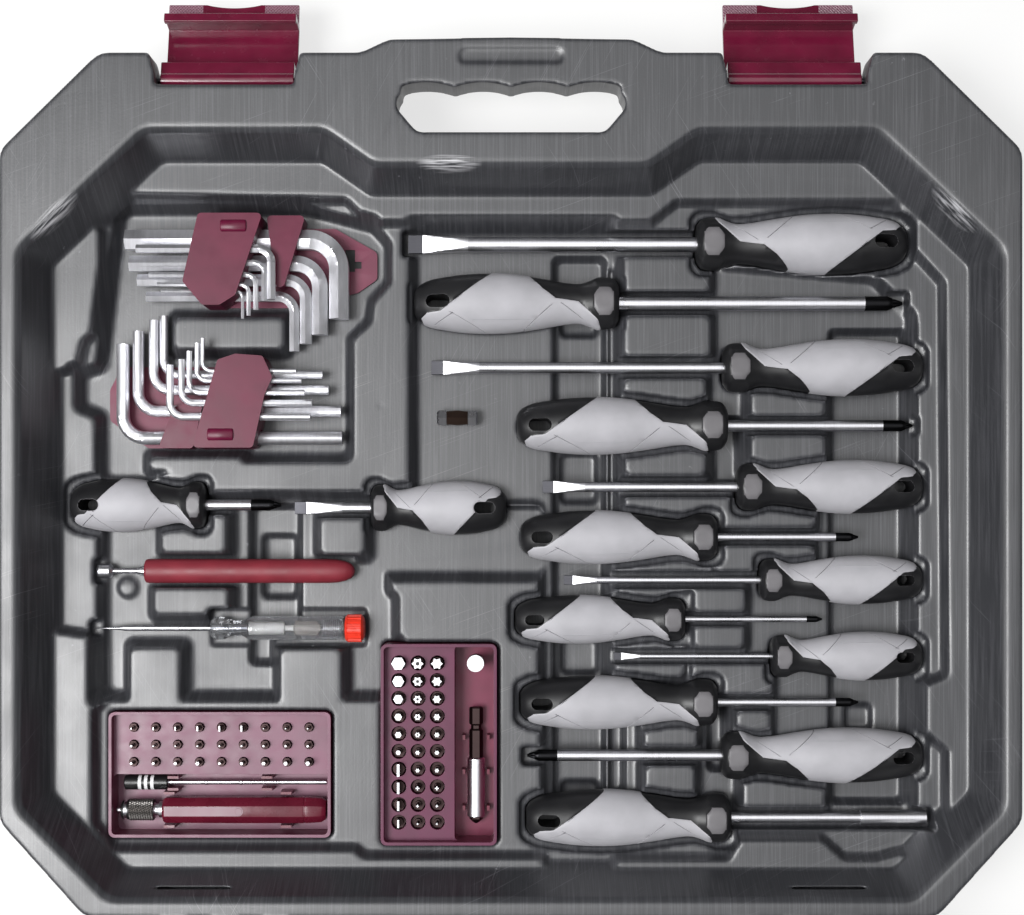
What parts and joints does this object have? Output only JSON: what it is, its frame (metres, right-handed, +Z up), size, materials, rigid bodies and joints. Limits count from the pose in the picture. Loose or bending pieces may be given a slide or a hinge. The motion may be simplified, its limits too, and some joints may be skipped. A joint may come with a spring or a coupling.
{
  "type": "hard tool case",
  "caption": "Blow-moulded hard tool case with hinged lid, two swing latches and moulded handle, holding a fitted screwdriver, key and bit set.",
  "frame": {"origin": "centre of the base half's flat back, in the plane that it rests on", "axes": "+X along the hinge, +Y from the hinge towards the base half's handle, +Z up out of the open base"},
  "size_m": [0.512, 0.9197, 0.0635],
  "materials": {
    "case_plastic": "satin, fine moulded grain",
    "latch_plastic": "gloss",
    "pin_steel": "satin",
    "handle_grip": "black core with light grey grip zones, satin",
    "blade_steel": "satin chrome",
    "sleeve_plastic": "satin",
    "clear_plastic": "clear gloss",
    "cap_plastic": "gloss",
    "clip_plastic": "satin",
    "key_steel": "satin chrome",
    "box_plastic": "slightly translucent gloss",
    "bit_steel": "dark satin",
    "driver_plastic": "gloss"
  },
  "bodies": {
    "base": {"base_shell": "case_plastic", "base_tray": "case_plastic", "latch_pin_left": "pin_steel", "latch_pin_right": "pin_steel", "hinge_pin_left": "pin_steel", "hinge_pin_right": "pin_steel"},
    "lid": {"lid_shell": "case_plastic", "lid_panel": "case_plastic"},
    "latch_left_body": {"latch_left": "latch_plastic"},
    "latch_right_body": {"latch_right": "latch_plastic"},
    "slotted_8_driver": {"slotted_8_handle": "handle_grip", "slotted_8_blade": "blade_steel"},
    "phillips_3_driver": {"phillips_3_handle": "handle_grip", "phillips_3_blade": "blade_steel"},
    "slotted_6_driver": {"slotted_6_handle": "handle_grip", "slotted_6_blade": "blade_steel"},
    "phillips_2_driver": {"phillips_2_handle": "handle_grip", "phillips_2_blade": "blade_steel"},
    "slotted_5_driver": {"slotted_5_handle": "handle_grip", "slotted_5_blade": "blade_steel"},
    "phillips_1_driver": {"phillips_1_handle": "handle_grip", "phillips_1_blade": "blade_steel"},
    "slotted_4_driver": {"slotted_4_handle": "handle_grip", "slotted_4_blade": "blade_steel"},
    "phillips_0_driver": {"phillips_0_handle": "handle_grip", "phillips_0_blade": "blade_steel"},
    "slotted_3_driver": {"slotted_3_handle": "handle_grip", "slotted_3_blade": "blade_steel"},
    "pozidriv_1_driver": {"pozidriv_1_handle": "handle_grip", "pozidriv_1_blade": "blade_steel"},
    "pozidriv_2_driver": {"pozidriv_2_handle": "handle_grip", "pozidriv_2_blade": "blade_steel"},
    "nut_driver": {"nut_driver_handle": "handle_grip", "nut_driver_blade": "blade_steel"},
    "stubby_phillips_driver": {"stubby_phillips_handle": "handle_grip", "stubby_phillips_blade": "blade_steel"},
    "stubby_slotted_driver": {"stubby_slotted_handle": "handle_grip", "stubby_slotted_blade": "blade_steel"},
    "magnetic_pickup": {"pickup_sleeve": "sleeve_plastic", "pickup_rod": "blade_steel", "pickup_magnet": "blade_steel"},
    "voltage_tester": {"tester_body": "clear_plastic", "tester_blade": "blade_steel", "tester_cap": "cap_plastic"},
    "coupler": {"bit_coupler": "blade_steel"},
    "hex_key_set": {"hex_key_clip": "clip_plastic", "hex_keys": "key_steel"},
    "torx_key_set": {"torx_key_clip": "clip_plastic", "torx_keys": "key_steel"},
    "precision_set": {"precision_tray": "box_plastic", "precision_bits": "bit_steel", "precision_extension": "blade_steel", "precision_driver": "driver_plastic"},
    "bit_set": {"bit_box": "box_plastic", "bits": "bit_steel", "bit_holder": "blade_steel", "socket_adapter": "blade_steel"}
  },
  "joints": [
    {"name": "lid_hinge", "type": "hinge", "parent": "base", "child": "lid", "pos_m": [0, -0.2235, 0.058], "axis": [1, 0, 0], "range_deg": [-180, 0]},
    {"name": "latch_left_hinge", "type": "hinge", "parent": "base", "child": "latch_left_body", "pos_m": [-0.1434, 0.2045, 0.046], "axis": [-1, 0, 0], "range_deg": [-104, 0]},
    {"name": "latch_right_hinge", "type": "hinge", "parent": "base", "child": "latch_right_body", "pos_m": [0.1434, 0.2045, 0.046], "axis": [-1, 0, 0], "range_deg": [-104, 0]},
    {"name": "slotted_8_driver_lift", "type": "slide", "parent": "base", "child": "slotted_8_driver", "axis": [0, 0, 1], "range_m": [0, 0.08]},
    {"name": "phillips_3_driver_lift", "type": "slide", "parent": "base", "child": "phillips_3_driver", "axis": [0, 0, 1], "range_m": [0, 0.08]},
    {"name": "slotted_6_driver_lift", "type": "slide", "parent": "base", "child": "slotted_6_driver", "axis": [0, 0, 1], "range_m": [0, 0.08]},
    {"name": "phillips_2_driver_lift", "type": "slide", "parent": "base", "child": "phillips_2_driver", "axis": [0, 0, 1], "range_m": [0, 0.08]},
    {"name": "slotted_5_driver_lift", "type": "slide", "parent": "base", "child": "slotted_5_driver", "axis": [0, 0, 1], "range_m": [0, 0.08]},
    {"name": "phillips_1_driver_lift", "type": "slide", "parent": "base", "child": "phillips_1_driver", "axis": [0, 0, 1], "range_m": [0, 0.08]},
    {"name": "slotted_4_driver_lift", "type": "slide", "parent": "base", "child": "slotted_4_driver", "axis": [0, 0, 1], "range_m": [0, 0.08]},
    {"name": "phillips_0_driver_lift", "type": "slide", "parent": "base", "child": "phillips_0_driver", "axis": [0, 0, 1], "range_m": [0, 0.08]},
    {"name": "slotted_3_driver_lift", "type": "slide", "parent": "base", "child": "slotted_3_driver", "axis": [0, 0, 1], "range_m": [0, 0.08]},
    {"name": "pozidriv_1_driver_lift", "type": "slide", "parent": "base", "child": "pozidriv_1_driver", "axis": [0, 0, 1], "range_m": [0, 0.08]},
    {"name": "pozidriv_2_driver_lift", "type": "slide", "parent": "base", "child": "pozidriv_2_driver", "axis": [0, 0, 1], "range_m": [0, 0.08]},
    {"name": "nut_driver_lift", "type": "slide", "parent": "base", "child": "nut_driver", "axis": [0, 0, 1], "range_m": [0, 0.08]},
    {"name": "stubby_phillips_driver_lift", "type": "slide", "parent": "base", "child": "stubby_phillips_driver", "axis": [0, 0, 1], "range_m": [0, 0.08]},
    {"name": "stubby_slotted_driver_lift", "type": "slide", "parent": "base", "child": "stubby_slotted_driver", "axis": [0, 0, 1], "range_m": [0, 0.08]},
    {"name": "magnetic_pickup_lift", "type": "slide", "parent": "base", "child": "magnetic_pickup", "axis": [0, 0, 1], "range_m": [0, 0.08]},
    {"name": "voltage_tester_lift", "type": "slide", "parent": "base", "child": "voltage_tester", "axis": [0, 0, 1], "range_m": [0, 0.08]},
    {"name": "coupler_lift", "type": "slide", "parent": "base", "child": "coupler", "axis": [0, 0, 1], "range_m": [0, 0.08]},
    {"name": "hex_key_set_lift", "type": "slide", "parent": "base", "child": "hex_key_set", "axis": [0, 0, 1], "range_m": [0, 0.08]},
    {"name": "torx_key_set_lift", "type": "slide", "parent": "base", "child": "torx_key_set", "axis": [0, 0, 1], "range_m": [0, 0.08]},
    {"name": "precision_set_lift", "type": "slide", "parent": "base", "child": "precision_set", "axis": [0, 0, 1], "range_m": [0, 0.08]},
    {"name": "bit_set_lift", "type": "slide", "parent": "base", "child": "bit_set", "axis": [0, 0, 1], "range_m": [0, 0.08]}
  ]
}
